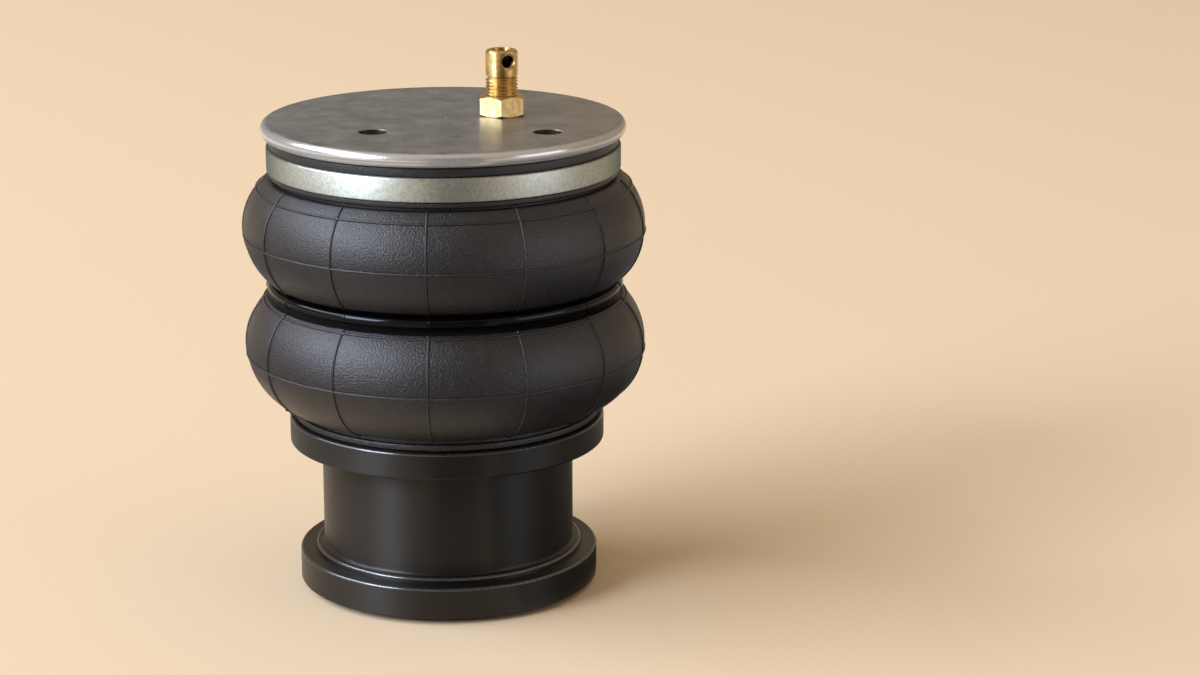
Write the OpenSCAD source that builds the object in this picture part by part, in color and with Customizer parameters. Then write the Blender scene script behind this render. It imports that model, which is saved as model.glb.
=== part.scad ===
// Double convolution air bellows actuator on a turned pedestal.
// Millimetres, +Z up along the stroke, origin at the middle of the base's underside.
// The line through the two mounting holes runs along X, and -Y is the front.

/* [Pedestal] */
// Diameter of the base flange
base_d = 112.6; // [106:0.2:130]
// Thickness of the base flange
base_t = 11.8; // [8:0.2:18]
// Diameter of the foot ring that the base stands on
foot_d = 102; // [98:0.5:105]
// Height of the foot ring, which leaves a shadow gap under the base flange
foot_h = 2; // [1:0.1:4]
// Diameter of the column
column_d = 94.6; // [90:0.2:98]
// Height of the column's top above the floor
pedestal_h = 56.2; // [48:0.2:80]
// Wall of the hollow column
column_wall = 14.3; // [13:0.1:16]
// Thickness of the deck that closes the column
deck_t = 12; // [9:0.5:16]
// Diameter of the raised collar round the column's lower end
collar_d = 100.6; // [99:0.2:104]
// Height of the collar above the base flange
collar_h = 2; // [1:0.1:4]
// Fillet between the column and the collar
root_r = 1.2; // [0.6:0.1:1.6]
// Rounding of the turned edges
edge_r = 0.8; // [0.3:0.1:2]

/* [Seat flange] */
// Diameter of the flange that the bellows stands on
seat_d = 118.2; // [116:0.2:130]
// Thickness of the seat flange
seat_t = 9.9; // [9:0.1:14]
// Diameter of the raised spigot that centres the lower bead
spigot_d = 91.4; // [90:0.2:92]
// Diameter of the pilot that centres the flange on the pedestal
pilot_d = 28; // [16:1:30]
// Depth of the pilot in the deck
pilot_h = 4; // [2:0.5:6]

/* [Bellows] */
// Largest diameter of the convolutions
lobe_d = 149; // [144:0.5:156]
// Radius of a convolution's outer arc
lobe_r = 24.6; // [24:0.1:26]
// Height between the two convolutions
lobe_pitch = 44; // [43:0.2:46]
// Wall of the rubber
wall = 4; // [3:0.1:5]
// Outer diameter of the upper cuff
cuff_d = 129; // [128:0.2:130]
// Height of the cuff's rim between the band and the top plate
cuff_rim_h = 3.6; // [3.4:0.1:5]
// Height of the lip under the band
lip_t = 2.4; // [1.6:0.1:4]
// Diameter of the lip at the lower bead
bead_d = 115; // [112:0.2:116]
// Height of the lower bead
bead_t = 6; // [5.6:0.1:8]
// Height of the seat flange's face below the lower convolution
bead_drop = 3.3; // [3:0.1:4]
// Height of the shadow gap under the lower lip
bead_gap = 0.6; // [0.4:0.1:1.2]
// Height of the groove over the lower lip
bead_groove_h = 1.5; // [0.8:0.1:2]
// Depth of the grooves beside the lips
groove_depth = 1.3; // [0.6:0.1:1.6]
// Height of the groove under the upper lip
groove_h = 0.8; // [0.4:0.1:1.2]

/* [Hoops] */
// Outer diameter of the girdle hoop
hoop_d = 132.8; // [130:0.2:134]
// Thickness of the girdle hoop
hoop_t = 4.4; // [3.6:0.2:5]
// Height of the pocket that the girdle hoop lies in
pocket_h = 7.8; // [7:0.2:8.4]
// Thickness of the upper bead wire
upper_wire_t = 2.4; // [1.6:0.1:2.6]
// Thickness of the lower bead wire
lower_wire_t = 3.2; // [2:0.1:3.4]

/* [Clamps] */
// Outer diameter of the swaged clamp band
band_d = 131; // [130:0.2:136]
// Height of the clamp band
band_h = 8.7; // [7:0.1:12]
// Thickness of the clamp band
band_t = 2; // [1.4:0.1:2.4]
// Outer diameter of the cuff spigot
cuff_spigot_d = 118; // [117:0.2:119]
// Wall of the cuff spigot
cuff_spigot_t = 2.4; // [1.6:0.1:2.6]
// Height of the ridges that grip the cuff
ridge_h = 0.8; // [0.4:0.1:1]
// Diameter of the plate that clamps the lower bead
clamp_plate_d = 102; // [98:0.5:104]
// Thickness of the clamp plate
clamp_plate_t = 6; // [4:0.5:9]

/* [Top plate] */
// Diameter over the rolled rim
plate_d = 135; // [132:0.5:150]
// Thickness of the plate
plate_t = 5.6; // [4:0.2:8]
// Spacing of the two mounting holes
mount_pitch = 63; // [50:0.5:64]
// Offset of the mounting pair to the right
mount_x = 7.3; // [0:0.1:7.5]
// Offset of the mounting pair to the front
mount_y = 26.9; // [24:0.1:28]
// Thread of the mounting holes, tapped through the plate and its nuts
mount_thread_d = 10; // [8:1:10]
// Diameter of the countersunk mouth of the mounting holes
mount_mouth_d = 10.9; // [10.4:0.1:11.4]
// Diameter of a mounting nut
nut_d = 15.6; // [15:0.1:16]
// Height of a mounting nut
nut_h = 14; // [10:0.5:18]
// Closed end of a mounting nut
nut_floor = 2.5; // [1:0.5:4]
// Diameter of the centre punch mark
punch_d = 2.2; // [1:0.1:3]

/* [Air fitting] */
// Offset of the air fitting to the right
port_x = 21.4; // [10:0.1:24]
// Offset of the air fitting to the back
port_y = 7.2; // [4:0.1:12]
// Diameter of the threaded stem
stem_d = 12; // [10:0.5:13]
// Length of the stem above the plate
stem_h = 24.4; // [20:0.2:32]
// Length of the smooth head of the stem
head_h = 9.6; // [8:0.2:12]
// Rounding of the head's top edge
head_round = 1.3; // [0.5:0.1:2]
// Air bore through the stem
bore_d = 7.6; // [5:0.2:8]
// Diameter of the cross hole in the head
cross_d = 4.8; // [3:0.2:5]
// Distance of the cross hole from the head's top
cross_drop = 4; // [3.2:0.1:5]
// Direction of the cross hole from the right, towards the front
cross_turn = 62; // [0:1:90]
// Width of the lock nut across its flats
lock_af = 16; // [15.5:0.5:22]
// Height of the lock nut
lock_h = 7.5; // [5:0.5:10]
// Flat ring left around the lock nut's chamfers, inside its flats
lock_land = 0.3; // [0.1:0.1:0.6]
// Diameter of the welded boss under the plate
boss_d = 20; // [18:0.5:24]
// Height of the boss
boss_h = 11; // [8:0.5:16]
// Thickness of the seal ring under the lock nut
seal_t = 1.4; // [1:0.1:1.6]

/* [Fasteners] */
// Thread of the screws that hold the clamp plate
clamp_screw_d = 6; // [5:1:6]
// Circle of the clamp plate's screws
clamp_pcd = 76; // [72:1:78]
// Number of screws in the clamp plate
clamp_count = 6; // [4:1:8]
// Length of the clamp plate's screws below the head
clamp_screw_l = 16; // [14:1:18]
// Thread of the screws that hold the seat flange
seat_screw_d = 8; // [6:1:8]
// Circle of the seat flange's screws
seat_pcd = 46; // [44:1:47]
// Number of screws in the seat flange
seat_count = 4; // [3:1:4]
// Length of the seat flange's screws below the head
seat_screw_l = 22; // [20:1:22]
// Thickness of the washers under those screws
washer_t = 1.6; // [1:0.1:2]
// Diameter of the dowel pins
dowel_d = 5; // [4:0.5:6]
// Turn of the dowel pins from the screws
dowel_turn = 30; // [20:1:40]
// Circle of the dowel pins
dowel_pcd = 76; // [74:1:80]
// Length of the dowel pins
dowel_l = 14; // [10:0.5:16]
// Thread of the base inserts
insert_thread_d = 8; // [6:1:8]
// Wall of the base inserts
insert_wall = 1; // [0.8:0.1:1.2]
// Length of the base inserts
insert_l = 16; // [10:0.5:20]
// Circle of the base inserts
insert_pcd = 80.6; // [80:0.1:82]
// Turn of the base inserts from the right
insert_turn = 45; // [0:1:90]
// Number of base inserts
insert_count = 4; // [3:1:6]

/* [Clearances] */
// Room around rubber that touches another piece
rubber_gap = 0.25; // [0.2:0.05:0.4]
// Room between pieces that are screwed, pressed or pinned together
fit_gap = 0.05; // [0.03:0.01:0.1]
// Room around a screw in a drilled hole
screw_gap = 0.4; // [0.2:0.1:0.6]

/* [Hidden] */
$fn = 128;
// Overshoot of a cutting tool past the face that it cuts
cut = 1;

// Heights up the pedestal and the lower end
base_z = foot_h + base_t;
deck_z = pedestal_h - deck_t;
seat_z = pedestal_h + seat_t;
bead_z = seat_z + bead_t;
clamp_z = bead_z + clamp_plate_t;
cavity_r = column_d / 2 - column_wall;

// Arcs of the two convolutions, and the valley that holds the hoop
lobe_x = lobe_d / 2 - lobe_r;
lower_lobe_z = seat_z + bead_drop + lobe_r;
upper_lobe_z = lower_lobe_z + lobe_pitch;
waist_z = (lower_lobe_z + upper_lobe_z) / 2;
hoop_x = (hoop_d - hoop_t) / 2;
waist_r = hoop_x - hoop_t / 2 - wall;
pocket_x = hoop_x - hoop_t / 2 - rubber_gap + pocket_h / 2;

// Heights up the cuff and the head
cuff_r = cuff_d / 2;
shoulder_h = sqrt(pow(lobe_r, 2) - pow(cuff_r - lobe_x, 2));
lip_z = upper_lobe_z + shoulder_h - groove_h / 2;
band_z = lip_z + lip_t;
band_top = band_z + band_h;
plate_z = band_top + cuff_rim_h;
plate_top = plate_z + plate_t;
cuff_in_r = cuff_spigot_d / 2 + rubber_gap;
band_seat_r = band_d / 2 - band_t - rubber_gap;
cuff_spigot_z = lip_z;

// Places of the bead wires inside the rubber
upper_wire_x = (cuff_in_r + band_seat_r) / 2;
upper_wire_z = band_top + cuff_rim_h / 3;
bead_in_r = spigot_d / 2 + rubber_gap;
lower_wire_x = (bead_in_r + bead_d / 2) / 2;
lower_wire_z = (seat_z + bead_z) / 2;

// The air fitting
stem_top = plate_top + stem_h;
stem_bottom = plate_z - boss_h + cut;
head_z = stem_top - head_h;
relief_h = 0.6;
relief_depth = 0.5;
seal_room = 0.1;
seal_in_r = stem_d / 2 + 2 * fit_gap;
seal_seat_r = seal_in_r + seal_t + seal_room;
countersink = 0.45;

// Socket head proportions
function head_diameter(thread) = 1.5 * thread + 1;
function socket_af(thread) = 0.75 * thread + 0.5;

// Half section of a turned disc with both rims rounded
module disc_section(radius, bottom, top, round) {
    translate([0, bottom])
        square([radius - round, top - bottom]);
    translate([0, bottom + round])
        square([radius, top - bottom - 2 * round]);
    for (z = [bottom + round, top - round])
        translate([radius - round, z])
            circle(r = round);
}

// Half section of a plain ring, or of a boss where the inner radius is 0
module ring_section(inner, outer, bottom, top) {
    translate([inner, bottom])
        square([outer - inner, top - bottom]);
}

// Copies children around the axis on a bolt circle
module on_circle(pcd, count, turn = 0) {
    for (i = [0 : count - 1])
        rotate(turn + i * 360 / count)
            translate([pcd / 2, 0, 0])
                children();
}

// Socket head screw with the underside of its head at the origin and its shank downwards
module cap_screw(thread, length) {
    head = head_diameter(thread);
    difference() {
        union() {
            cylinder(d = head, h = thread);
            translate([0, 0, -length])
                cylinder(d = thread, h = length + cut);
        }
        translate([0, 0, thread / 2])
            cylinder(d = socket_af(thread) / cos(30), h = thread, $fn = 6);
    }
}

// Hollow turned spool on a foot ring, with a raised collar and a fillet at the column's lower end
module pedestal() {
    color("#1d1d1f")
    difference() {
        rotate_extrude()
            difference() {
                union() {
                    ring_section(0, foot_d / 2, 0, foot_h + edge_r);
                    disc_section(base_d / 2, foot_h, base_z, edge_r);
                    square([column_d / 2, pedestal_h]);
                    disc_section(collar_d / 2, foot_h, base_z + collar_h, edge_r);
                    fillet_section();
                }
                translate([0, -cut])
                    square([cavity_r, deck_z + cut]);
                square([pilot_d / 2 + fit_gap, pedestal_h + cut]);
            }
        on_circle(seat_pcd, seat_count)
            cylinder(d = seat_screw_d + screw_gap, h = pedestal_h + cut);
        translate([0, 0, pedestal_h - dowel_l / 2])
            on_circle(dowel_pcd, 2, dowel_turn)
                cylinder(d = dowel_d + fit_gap, h = dowel_l);
        translate([0, 0, -cut])
            on_circle(insert_pcd, insert_count, insert_turn)
                cylinder(d = insert_thread_d + 2 * insert_wall + fit_gap, h = insert_l + cut);
    }
}

// Concave fillet between the column and its collar
module fillet_section() {
    bottom = base_z + collar_h;
    outer = column_d / 2 + root_r;
    difference() {
        ring_section(0, outer, bottom, bottom + root_r);
        translate([outer, bottom + root_r])
            circle(r = root_r);
    }
}

// Threaded bushes pressed into the underside of the base
module base_inserts() {
    color("#b9b3a4")
    on_circle(insert_pcd, insert_count, insert_turn)
        difference() {
            cylinder(d = insert_thread_d + 2 * insert_wall, h = insert_l);
            translate([0, 0, -cut])
                cylinder(d = insert_thread_d, h = insert_l + 2 * cut);
        }
}

// Turned flange with a spigot for the bead above and a pilot below
module seat_flange() {
    seat_thread_l = seat_screw_l - deck_t - washer_t;
    color("#1d1d1f")
    difference() {
        rotate_extrude() {
            disc_section(seat_d / 2, pedestal_h, seat_z, edge_r);
            ring_section(0, spigot_d / 2, seat_z - edge_r, bead_z);
            ring_section(0, pilot_d / 2, pedestal_h - pilot_h, pedestal_h + edge_r);
        }
        translate([0, 0, bead_z + clamp_plate_t - clamp_screw_l - cut])
            on_circle(clamp_pcd, clamp_count)
                cylinder(d = clamp_screw_d + fit_gap, h = clamp_screw_l + cut);
        translate([0, 0, pedestal_h - cut])
            on_circle(seat_pcd, seat_count)
                cylinder(d = seat_screw_d + fit_gap, h = seat_thread_l + 2 * cut);
        translate([0, 0, pedestal_h - dowel_l / 2])
            on_circle(dowel_pcd, 2, dowel_turn)
                cylinder(d = dowel_d + fit_gap, h = dowel_l);
    }
}

// Hardened pins that stop the flange from turning on the pedestal
module dowel_pins() {
    color("#8d9092")
    translate([0, 0, pedestal_h - dowel_l / 2])
        on_circle(dowel_pcd, 2, dowel_turn)
            cylinder(d = dowel_d, h = dowel_l);
}

// Screws that go up through the deck into the seat flange
module pedestal_screws() {
    color("#3a3a3c")
    translate([0, 0, deck_z - washer_t])
        on_circle(seat_pcd, seat_count)
            mirror([0, 0, 1])
                cap_screw(seat_screw_d, seat_screw_l);
}

// Washers between those screws and the deck
module pedestal_washers() {
    color("#9a9c9d")
    translate([0, 0, deck_z - washer_t])
        on_circle(seat_pcd, seat_count)
            difference() {
                cylinder(d = 2 * seat_screw_d, h = washer_t);
                translate([0, 0, -cut])
                    cylinder(d = seat_screw_d + screw_gap, h = washer_t + 2 * cut);
            }
}

// Steel disc that presses the lower bead onto the seat flange
module clamp_plate() {
    color("#9ea0a1")
    difference() {
        rotate_extrude()
            disc_section(clamp_plate_d / 2, bead_z, clamp_z, edge_r);
        translate([0, 0, bead_z - cut])
            on_circle(clamp_pcd, clamp_count)
                cylinder(d = clamp_screw_d + screw_gap, h = clamp_plate_t + 2 * cut);
    }
}

// Screws that hold the clamp plate down from inside the bellows
module clamp_screws() {
    color("#3a3a3c")
    translate([0, 0, clamp_z])
        on_circle(clamp_pcd, clamp_count)
            cap_screw(clamp_screw_d, clamp_screw_l);
}

// Hoop of round bar or wire about the axis
module hoop(radius, height, thickness) {
    rotate_extrude()
        translate([radius, height])
            circle(d = thickness);
}

// Steel wire moulded into the lower bead
module lower_bead_wire() {
    color("#a8862f")
    hoop(lower_wire_x, lower_wire_z, lower_wire_t);
}

// Steel wire moulded into the rim of the upper cuff
module upper_bead_wire() {
    color("#a8862f")
    hoop(upper_wire_x, upper_wire_z, upper_wire_t);
}

// Moulded rubber bellows with two convolutions, a lower bead and an upper cuff
module bellows() {
    color("#26272a")
    rotate_extrude()
        difference() {
            union() {
                for (z = [lower_lobe_z, upper_lobe_z])
                    translate([lobe_x, z])
                        circle(r = lobe_r);
                ring_section(waist_r, waist_r + wall, lower_lobe_z, upper_lobe_z);
                ring_section(waist_r, cuff_r, upper_lobe_z, plate_z - rubber_gap);
                ring_section(bead_in_r, bead_d / 2, seat_z + rubber_gap, lower_lobe_z - lobe_r / 2);
            }
            air_space_section();
            wire_and_hoop_section();
            rim_cut_section();
        }
}

// Inside of the bellows, clear of the clamp plate, the lower spigot and the cuff spigot
module air_space_section() {
    for (z = [lower_lobe_z, upper_lobe_z])
        translate([lobe_x, z])
            circle(r = lobe_r - wall);
    ring_section(0, waist_r, lower_lobe_z, upper_lobe_z);
    ring_section(0, cuff_in_r, upper_lobe_z, plate_top);
    ring_section(0, clamp_plate_d / 2 + rubber_gap, bead_z - rubber_gap, lower_lobe_z);
    ring_section(0, bead_in_r, 0, lower_lobe_z);
}

// Rooms for the two bead wires, and the pocket that the girdle hoop lies in
module wire_and_hoop_section() {
    translate([upper_wire_x, upper_wire_z])
        circle(d = upper_wire_t + 2 * rubber_gap);
    translate([lower_wire_x, lower_wire_z])
        circle(d = lower_wire_t + 2 * rubber_gap);
    translate([pocket_x, waist_z])
        circle(d = pocket_h);
}

// Seat of the band, the grooves beside both lips and the shadow gap under the lower lip
module rim_cut_section() {
    far = lobe_d;
    lower_groove_z = seat_z + bead_gap + lip_t;
    ring_section(band_seat_r, far, band_z - rubber_gap, band_top + rubber_gap);
    ring_section(cuff_r, far, lip_z, plate_top);
    ring_section(cuff_r - groove_depth, far, lip_z - groove_h, lip_z);
    ring_section(bead_d / 2 - groove_depth, far, seat_z, seat_z + bead_gap);
    ring_section(bead_d / 2, far, seat_z, lower_groove_z);
    ring_section(bead_d / 2 - groove_depth, far, lower_groove_z, lower_groove_z + bead_groove_h);
}

// Ring in the valley that keeps the waist from growing
module girdle_hoop() {
    color("#131315")
    hoop(hoop_x, waist_z, hoop_t);
}

// Ridged steel ring under the top plate that the cuff is clamped on
module cuff_spigot() {
    outer = cuff_spigot_d / 2;
    color("#9ea0a1")
    rotate_extrude() {
        ring_section(outer - cuff_spigot_t, outer - ridge_h / 2, cuff_spigot_z, plate_z);
        for (share = [0.25, 0.75])
            translate([outer - ridge_h, band_z + share * band_h])
                circle(r = ridge_h);
    }
}

// Zinc plated band swaged round the cuff
module clamp_band() {
    round = band_t / 4;
    outer = band_d / 2;
    color("#c9cbc3")
    rotate_extrude() {
        ring_section(outer - band_t, outer - round, band_z, band_top);
        ring_section(outer - band_t, outer, band_z + round, band_top - round);
        for (z = [band_z + round, band_top - round])
            translate([outer - round, z])
                circle(r = round);
    }
}

// Steel plate with a full round rim, two mounting holes and the seat of the air fitting
module top_plate() {
    rim_r = plate_t / 2;
    color("#8b8a86")
    difference() {
        rotate_extrude() {
            ring_section(0, plate_d / 2 - rim_r, plate_z, plate_top);
            difference() {
                translate([plate_d / 2 - rim_r, plate_z + rim_r])
                    circle(r = rim_r);
                ring_section(0, plate_d / 2 - rim_r - cut / 2, plate_z - cut, plate_top + cut);
            }
        }
        for (side = [-1, 1])
            translate([mount_x + side * mount_pitch / 2, -mount_y, plate_z - cut])
                tapped_hole();
        translate([port_x, port_y, plate_z - cut])
            cylinder(d = stem_d + screw_gap / 2, h = plate_t + 2 * cut);
        translate([port_x, port_y, plate_top - seal_t - fit_gap])
            cylinder(r = seal_seat_r, h = seal_t + cut);
        translate([0, 0, plate_top - punch_d / 3])
            cylinder(d1 = 0, d2 = 2 * punch_d, h = 2 * punch_d / 3);
    }
}

// Tapped hole through the plate, with a 45 degree countersink at its mouth
module tapped_hole() {
    mouth_h = (mount_mouth_d - mount_thread_d) / 2;
    cylinder(d = mount_thread_d, h = plate_t + 2 * cut);
    translate([0, 0, plate_t + cut - mouth_h])
        cylinder(d1 = mount_thread_d, d2 = mount_mouth_d + 2 * cut, h = mouth_h + cut);
}

// Closed round nut welded under a mounting hole
module mount_nut(side) {
    color("#8f8e88")
    translate([mount_x + side * mount_pitch / 2, -mount_y, plate_z - nut_h])
        difference() {
            cylinder(d = nut_d, h = nut_h);
            translate([0, 0, nut_floor])
                cylinder(d = mount_thread_d, h = nut_h);
        }
}

// Threaded boss welded under the air port
module port_boss() {
    color("#8f8e88")
    translate([port_x, port_y, plate_z - boss_h])
        difference() {
            cylinder(d = boss_d, h = boss_h);
            translate([0, 0, -cut])
                cylinder(d = stem_d + 2 * fit_gap, h = boss_h + 2 * cut);
        }
}

// Rubber ring that seals the stem under the lock nut
module stem_seal() {
    color("#1a1a1a")
    translate([port_x, port_y, 0])
        hoop(seal_in_r + seal_t / 2, plate_top - seal_t / 2, seal_t);
}

// Brass hexagon nut with both faces chamfered
module lock_nut() {
    corner_r = lock_af / 2 / cos(30);
    chamfer = corner_r - lock_af / 2 + lock_land;
    slope_h = chamfer * tan(30);
    color("#c9a24a")
    translate([port_x, port_y, plate_top])
        difference() {
            intersection() {
                rotate(30)
                    cylinder(r = corner_r, h = lock_h, $fn = 6);
                rotate_extrude()
                    polygon([
                        [0, 0],
                        [corner_r - chamfer, 0],
                        [corner_r, slope_h],
                        [corner_r, lock_h - slope_h],
                        [corner_r - chamfer, lock_h],
                        [0, lock_h]
                    ]);
            }
            translate([0, 0, -cut])
                cylinder(d = stem_d + 2 * fit_gap, h = lock_h + 2 * cut);
        }
}

// Brass stem with a through bore, a thread relief under its head and a cross hole
module air_stem() {
    radius = stem_d / 2;
    cross_z = stem_top - cross_drop;
    color("#cfa850")
    translate([port_x, port_y, 0])
        difference() {
            rotate_extrude()
                difference() {
                    union() {
                        ring_section(0, radius, stem_bottom, head_z - relief_h);
                        ring_section(0, radius - relief_depth, stem_bottom, head_z + relief_h);
                        ring_section(0, radius, head_z, stem_top - head_round);
                        ring_section(0, radius - head_round, head_z, stem_top);
                        translate([radius - head_round, stem_top - head_round])
                            circle(r = head_round);
                    }
                    ring_section(0, bore_d / 2, stem_bottom - cut, stem_top + cut);
                }
            translate([0, 0, cross_z])
                rotate([0, 90, -cross_turn]) {
                    cylinder(d = cross_d, h = stem_d);
                    translate([0, 0, radius - 2 * countersink])
                        cylinder(d1 = cross_d, d2 = cross_d + 4 * countersink, h = 2 * countersink);
                }
        }
}

pedestal();
base_inserts();
seat_flange();
dowel_pins();
pedestal_screws();
pedestal_washers();
clamp_plate();
clamp_screws();
lower_bead_wire();
bellows();
girdle_hoop();
upper_bead_wire();
cuff_spigot();
clamp_band();
top_plate();
mount_nut(-1);  // mount_nut_left
mount_nut(1);  // mount_nut_right
port_boss();
stem_seal();
lock_nut();
air_stem();
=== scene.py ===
# Double convolution air bellows actuator on a turned pedestal.
# Metres, +Z up along the stroke, origin at the middle of the base's underside, front towards -Y.
import math

import bmesh
import bpy
from mathutils import Matrix, Vector


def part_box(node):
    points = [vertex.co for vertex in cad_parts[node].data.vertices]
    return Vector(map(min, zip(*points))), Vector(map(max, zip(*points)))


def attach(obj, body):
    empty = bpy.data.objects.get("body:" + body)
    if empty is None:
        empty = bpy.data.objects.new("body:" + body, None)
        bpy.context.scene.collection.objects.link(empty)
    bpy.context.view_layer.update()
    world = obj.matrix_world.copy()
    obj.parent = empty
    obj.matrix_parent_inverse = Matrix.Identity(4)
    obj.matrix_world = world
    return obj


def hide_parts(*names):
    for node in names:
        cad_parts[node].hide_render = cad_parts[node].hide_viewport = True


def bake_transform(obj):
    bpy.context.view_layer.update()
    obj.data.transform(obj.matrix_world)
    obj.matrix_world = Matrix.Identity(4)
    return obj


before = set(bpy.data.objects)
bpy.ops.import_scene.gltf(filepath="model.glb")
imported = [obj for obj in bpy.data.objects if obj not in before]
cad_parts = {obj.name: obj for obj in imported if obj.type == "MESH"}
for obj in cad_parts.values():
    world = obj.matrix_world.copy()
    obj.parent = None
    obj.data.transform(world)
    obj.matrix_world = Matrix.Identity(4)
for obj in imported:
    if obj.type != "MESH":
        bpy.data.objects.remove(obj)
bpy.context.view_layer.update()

# Pedestal and seat flange: two pieces turned from aluminium bar and black anodised to a satin finish.
# Screws from below hold the flange on the pedestal's deck.
mm = 0.001


def linear(code):
    """An sRGB hex colour as linear red, green, blue and alpha."""
    shares = [int(code[i:i + 2], 16) / 255 for i in (1, 3, 5)]
    return [s / 12.92 if s <= 0.04045 else ((s + 0.055) / 1.055) ** 2.4 for s in shares] + [1.0]


def add(tree, kind, inputs=None, **settings):
    """Adds a node with its settings; each named input is linked if it gets a socket, and set if not."""
    node = tree.nodes.new(kind)
    for name, value in settings.items():
        setattr(node, name, value)
    for name, value in (inputs or {}).items():
        if isinstance(value, bpy.types.NodeSocket):
            tree.links.new(value, node.inputs[name])
        else:
            node.inputs[name].default_value = value
    return node


def new_finish(name, constants):
    """A material with constants on its shader's sockets; returns it, its tree, shader and coordinates."""
    material = bpy.data.materials.new(name)
    material.use_nodes = True
    tree = material.node_tree
    shader = tree.nodes["Principled BSDF"]
    for socket, value in constants.items():
        shader.inputs[socket].default_value = value
    place = add(tree, "ShaderNodeTexCoord").outputs["Object"]
    return material, tree, shader, place


def dress(name, material):
    """Gives a solid of the frame its finish."""
    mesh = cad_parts[name].data
    mesh.materials.clear()
    mesh.materials.append(material)


# Black anodised aluminium, fine turned: deep black with a satin sheen drawn out across the faint tool
# lines round the axis, and with three edges rubbed down to bright bare metal, which here also paints
# highlight lines along them. Real lines are about 0.1 mm apart; they are drawn at 0.7 mm, so that they show.
tool_line = 0.7 * mm
handling_patch = 14 * mm
highlight_edges = ((59.1 * mm, 66.1 * mm), (50.3 * mm, 15.8 * mm), (56.3 * mm, 13.8 * mm))
edge_highlight_core = 0.4 * mm
edge_highlight_reach = 0.9 * mm
anodised, tree, shader, place = new_finish("black_anodised_aluminium", {
    "IOR": 1.53, "Anisotropic": 0.8, "Anisotropic Rotation": 0.25,
})
axes = add(tree, "ShaderNodeSeparateXYZ", {"Vector": place})
squared = add(tree, "ShaderNodeMath", {0: axes.outputs["X"], 1: axes.outputs["X"]}, operation="MULTIPLY")
radius = add(tree, "ShaderNodeMath", {0: axes.outputs["Y"], 1: axes.outputs["Y"], 2: squared.outputs[0]},
             operation="MULTIPLY_ADD")
radius = add(tree, "ShaderNodeMath", {0: radius.outputs[0], 1: 0.5}, operation="POWER")
section = add(tree, "ShaderNodeCombineXYZ", {"X": radius.outputs[0], "Y": axes.outputs["Z"]})
lines = add(tree, "ShaderNodeTexNoise", {"Vector": section.outputs[0], "Scale": 1 / tool_line, "Detail": 2},
            noise_dimensions="2D")
patches = add(tree, "ShaderNodeTexNoise", {"Vector": place, "Scale": 1 / handling_patch, "Detail": 4})
black = add(tree, "ShaderNodeMix", {0: patches.outputs["Fac"], 6: linear("#050505"), 7: linear("#090909")},
            data_type="RGBA")
satin = add(tree, "ShaderNodeMapRange", {"Value": patches.outputs["Fac"], "To Min": 0.36, "To Max": 0.46})
nearest = 1.0
for edge_radius, edge_height in highlight_edges:
    away = add(tree, "ShaderNodeVectorMath", {0: section.outputs[0], 1: (edge_radius, edge_height, 0)},
               operation="DISTANCE")
    closer = add(tree, "ShaderNodeMath", {0: nearest, 1: away.outputs["Value"]}, operation="MINIMUM")
    nearest = closer.outputs[0]
# Painted highlight: three edges turn to pale bare metal, standing in for the highlight lines along them
rubbed_edge_highlight = add(tree, "ShaderNodeMapRange", {"Value": nearest, "From Min": edge_highlight_core, "From Max": edge_highlight_reach,
                                          "To Min": 1.0, "To Max": 0.0})
sheen = add(tree, "ShaderNodeMix", {0: rubbed_edge_highlight.outputs[0], 2: satin.outputs[0], 3: 0.22})
shade = add(tree, "ShaderNodeMix", {0: rubbed_edge_highlight.outputs[0], 6: black.outputs[2], 7: linear("#6f7278")},
            data_type="RGBA")
around = add(tree, "ShaderNodeTangent", direction_type="RADIAL", axis="Z")
grooves = add(tree, "ShaderNodeBump", {"Height": lines.outputs["Fac"], "Strength": 0.25,
                                       "Distance": 0.01 * mm})
tree.links.new(shade.outputs[2], shader.inputs["Base Color"])
tree.links.new(sheen.outputs[0], shader.inputs["Roughness"])
tree.links.new(rubbed_edge_highlight.outputs[0], shader.inputs["Metallic"])
tree.links.new(grooves.outputs[0], shader.inputs["Normal"])
tree.links.new(around.outputs[0], shader.inputs["Tangent"])
for name in ("pedestal", "seat_flange"):
    dress(name, anodised)

# Fasteners of the base: four socket screws with washers under the deck, two dowel pins,
# and four threaded steel bushes pressed into the underside for the machine's bolts.
# Black oxide steel: nearly black, with a dull oily sheen and fine pitting.
oxide, tree, shader, place = new_finish("black_oxide_steel", {"Metallic": 1.0})
pits = add(tree, "ShaderNodeTexNoise", {"Vector": place, "Scale": 1 / (0.5 * mm), "Detail": 5})
shade = add(tree, "ShaderNodeMix", {0: pits.outputs["Fac"], 6: linear("#28282a"), 7: linear("#414144")},
            data_type="RGBA")
sheen = add(tree, "ShaderNodeMapRange", {"Value": pits.outputs["Fac"], "To Min": 0.35, "To Max": 0.55})
tree.links.new(shade.outputs[2], shader.inputs["Base Color"])
tree.links.new(sheen.outputs[0], shader.inputs["Roughness"])
for name in ("pedestal_screws", "clamp_screws"):
    dress(name, oxide)

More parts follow.
